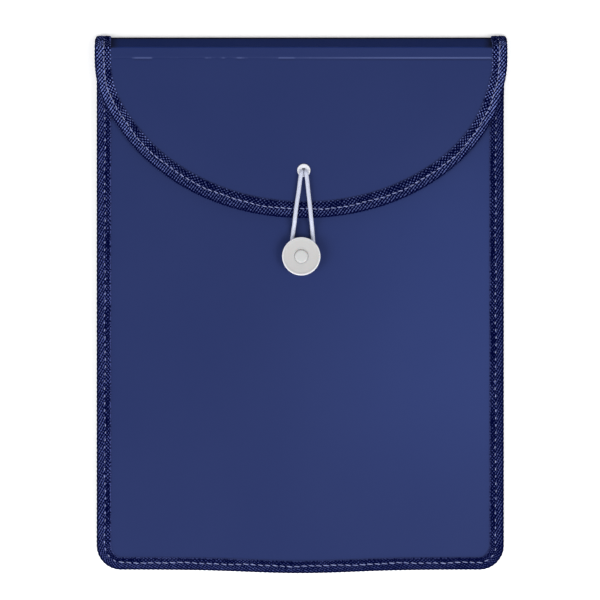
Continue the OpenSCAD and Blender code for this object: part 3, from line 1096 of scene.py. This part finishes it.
def add_flap():
    """The flap with its tape and thread, back over the crease to the middle of the strip."""
    crease = front_crease[1]
    depth = flap_round_y - flap_tip_y - TAPE_T
    round_rows = flap_round_y - depth * np.cos(np.linspace(0.06, math.pi / 2, 44, endpoint=False))
    rows = np.concatenate([round_rows, spread(
        (flap_round_y, 6), (score_s - 1.2 * MM, 14), (score_s + 1.2 * MM, 5), (crease - 0.8 * MM, 14),
        (crease + 0.6 * MM, 6), (flap_top_s, 1))])
    rows = np.unique(rows)
    panel = sheet("flap_sheet", rows, flap_half_at, SHEET_T, on_flap, flap_relief, 121)
    cut_hole(panel, (eyelet_centre.x, eyelet_centre.y, flap_mid_z), EYELET_BORE)
    clean(panel, 40)

    line = flap_edge()
    right = rise(line[:, 0], -20 * MM, 90 * MM)
    width = FLAP_TAPE_W - 0.5 * MM * right
    seam = wandering(line, FLAP_SEAM - 0.8 * MM * right)
    binding = tape("flap_binding", line, width, seam, 0.8 * MM, 0.8 * MM, flap_weave, on_flap, 20)
    levels = same_levels(THREAD_LEVEL, THREAD_LEVEL)
    sewn = stitches("flap_stitching", line, seam, levels, FLAP_PITCH,
                    lambda heading: FLAP_STITCH, on_flap)
    blue = sheet_material("flap_blue", strip_s=crease - 0.3 * MM, score_s=score_s, sheen=0.45)
    outfit((panel, binding, sewn), (blue, flap_tape, thread), ["flap_panel", "spine_strip"],
           ["flap_tape", "left_spine_tape", "right_spine_tape"], ["flap_seam", "spine_seam"])
    for piece in (panel, binding, sewn):
        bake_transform(piece)


# ---------- gussets ----------

# From the pocket's edge to a gusset's edge, to its bend and to the tip of its fold
GUSSET_EDGE = 0.7 * MM
GUSSET_BEND = 10.3 * MM
GUSSET_TIP = 18.3 * MM


def gusset_profile():
    """A gusset's cross-section: how far in from the pocket's edge, and the height."""
    low = back_mid_z + (SHEET_T + GUSSET_T) / 2
    high = front_mid_z - (SHEET_T + GUSSET_T) / 2
    middle = np.array([(GUSSET_EDGE, low), (GUSSET_BEND, low), (GUSSET_TIP, (low + high) / 2),
                       (GUSSET_BEND, high), (GUSSET_EDGE, high)])
    line = resample(middle, 0.8 * MM)
    for _ in range(3):
        line[1:-1] = (line[:-2] + 2 * line[1:-1] + line[2:]) / 4
    way = tangents(line)
    out = stack(way[:, 1], -way[:, 0]) * GUSSET_T / 2
    return line + out, line - out


def corner_reach(a):
    """Where a gusset ends at the corner's mitre, by how far in it is from the edge."""
    inner_r = CORNER_R - TAPE_T
    from_centre = CORNER_R - np.minimum(a, CORNER_R)
    rounded_end = CORNER_R - np.sqrt(np.maximum(inner_r**2 - from_centre**2, 0))
    return np.maximum(np.where(a < CORNER_R, rounded_end, 0.0), a)


def gusset(name, side, node):
    """One gusset: side is -1 for the left, 1 for the right and 0 for the bottom."""
    outer, inner = gusset_profile()
    ring = np.vstack([outer, inner[::-1]])
    a, z = ring[:, 0], ring[:, 1]
    t = np.linspace(0.0, 1.0, 60)[:, None]
    reach = corner_reach(a)
    ripple = 0.25 * MM * rise(a, 10 * MM, 8 * MM) * np.sin(t * 17.0) * np.sin(t * math.pi)
    if side:
        x = side * (pocket_half - a) + side * ripple
        y = mouth_y + (bottom_y + reach - mouth_y) * t
    else:
        x = (pocket_half - reach) * (2 * t - 1)
        y = bottom_y + a + ripple
    points = stack(x + 0 * t, bowed(x, y), z + 0 * t)
    count, size = len(outer), len(ring)
    faces = list(grid_faces(len(t), size, ring=True))
    for first in (0, (len(t) - 1) * size):
        for i in range(count - 1):
            faces.append(np.array([i, i + 1, size - 2 - i, size - 1 - i]) + first)
    uv = stack(along(ring)[None, :] + 0 * t, 0.3 * t + 0 * a)
    piece = clean(add_mesh(name, points, faces, uv=uv), 40)
    dress(piece, gusset_blue, "blue_sheet")
    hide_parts(node)
    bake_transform(piece)


gusset_blue = sheet_material("gusset_blue")
add_back()
add_front()
add_flap()
for gusset_name, gusset_side in (("left", -1), ("right", 1), ("bottom", 0)):
    gusset(gusset_name + "_pleat", gusset_side, gusset_name + "_gusset")


# ---------- button and eyelet ----------

white_plastic = plastic_material("white_plastic", DISC_DARK_AND_SHADED, DISC_PALE_AND_LIT, 0.35, rim=disc_r / MM)
boss_plastic = plastic_material("boss_plastic", BOSS_DARK_AND_SHADED, BOSS_PALE_AND_LIT, 0.30)
white_metal = metal_material("white_metal", PAINT_DARK, PAINT_PALE, True)
bare_metal = metal_material("bare_metal", METAL_DARK, METAL_PALE, False)


def add_disc():
    """The button's dished disc on its neck, with a rounded rim and a bored middle."""
    low, top = disc_low.z, disc_high.z
    under = top - 1.8 * MM
    neck, seat = 6.0 * MM, 3.9 * MM
    dish = top - 0.12 * MM
    profile = [(BUTTON_BORE, low), (neck, low), (neck, under), (disc_r, under), (disc_r, top),
               (disc_r - 1.3 * MM, top), (disc_r - 1.7 * MM, dish), (seat + 0.7 * MM, dish),
               (seat, top - 0.45 * MM), (BUTTON_BORE, top - 0.6 * MM)]
    radii = MM * np.array([0, 0.4, 0.5, 0.7, 0.7, 0.3, 0.3, 0.3, 0.1, 0])
    lathe("disc", "button_disc", "button", rounded(profile, radii, 8), disc_centre,
          white_plastic, "white_plastic", sides=128)


def add_rivet():
    """The rivet's head on the disc, with its shank down to the cap inside."""
    low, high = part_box("button_rivet")
    centre = (low + high) / 2
    head_r = (high.x - low.x) / 2
    shank, seat = 2.5 * MM, high.z - 1.5 * MM
    profile = [(0, low.z), (shank, low.z), (shank, seat), (head_r, seat), (head_r, high.z - 0.1 * MM),
               (0.5 * head_r, high.z), (0, high.z)]
    radii = MM * np.array([0, 0.3, 0, 0.3, 0.8, 1.0, 0])
    lathe("rivet", "button_rivet", "front", rounded(profile, radii, 8), centre,
          boss_plastic, "white_plastic", closed=False)


def add_eyelet():
    """The eyelet's barrel, rolled over on the outside and curled on the inside."""
    low, top = eyelet_low.z, eyelet_high.z
    outside = flap_mid_z + SHEET_T / 2
    hole, wall = 1.5 * MM, 2.95 * MM
    curl_r = 3.9 * MM
    profile = [(hole, low), (curl_r, low), (curl_r, low + 0.25 * MM), (wall, low + 0.25 * MM),
               (wall, outside), (eyelet_r, outside), (eyelet_r - 0.1 * MM, top), (hole, top)]
    radii = MM * np.array([0.2, 0.1, 0.1, 0, 0, 0.25, 0.4, 0.5])
    lathe("eyelet_ring", "eyelet", "flap", rounded(profile, radii, 8), eyelet_centre,
          white_metal, "white_metal")


add_disc()
add_rivet()
add_eyelet()
for node, material in (("eyelet_washer", white_metal), ("elastic_ferrule", bare_metal),
                       ("rivet_cap", boss_plastic)):
    dress(frame["nodes"][node], material)


# ---------- floor and light ----------


# Half the floor's width, and its level, just under the CAD part
FLOOR_HALF = 25.0
FLOOR_Z = -0.35 * MM

# Each soft light's name, place, size in metres and power in watts
LIGHTS = (("left", (-1.6, -0.7, 1.6), 1.4, 26.0), ("right", (1.4, -0.7, 1.9), 1.2, 26.0),
          ("low", (0.1, -2.0, 1.4), 1.4, 22.0))


def add_floor():
    """A plain pale floor."""
    corners = [(x * FLOOR_HALF, y * FLOOR_HALF, FLOOR_Z)
               for x, y in ((-1, -1), (1, -1), (1, 1), (-1, 1))]
    floor = add_mesh("floor", np.array(corners), [(0, 1, 2, 3)])
    dress(floor, floor_material())
    floor.visible_glossy = False


def add_light(name, place, size, power):
    """A square soft light that faces the bag."""
    lamp = bpy.data.lights.new(name, "AREA")
    lamp.size = size
    lamp.energy = power
    made = add_object(name, lamp)
    made.location = place
    x, y, z = place
    made.rotation_euler = (math.atan2(math.hypot(x, y), z), 0.0, math.atan2(y, x) + math.pi / 2)


def add_world():
    """A pale horizon under a darker zenith, and dark below the floor."""
    world = bpy.data.worlds.new("studio")
    world.use_nodes = True
    tree = world.node_tree
    way = add_node(tree, "TexCoord")
    up = parts(tree, way.outputs["Generated"])[2]
    above = up.ramp(0.05, 0.75, 0.85, 0.18)
    level = above * up.ramp(-0.02, 0.0, 0.02, 1.0)
    background = tree.nodes["Background"].inputs
    give(tree, background["Strength"], level)
    background["Color"].default_value = (1.0, 1.0, 1.0, 1.0)
    bpy.context.scene.world = world


add_floor()
for light in LIGHTS:
    add_light(*light)
add_world()
bpy.context.scene.view_settings.view_transform = "Standard"
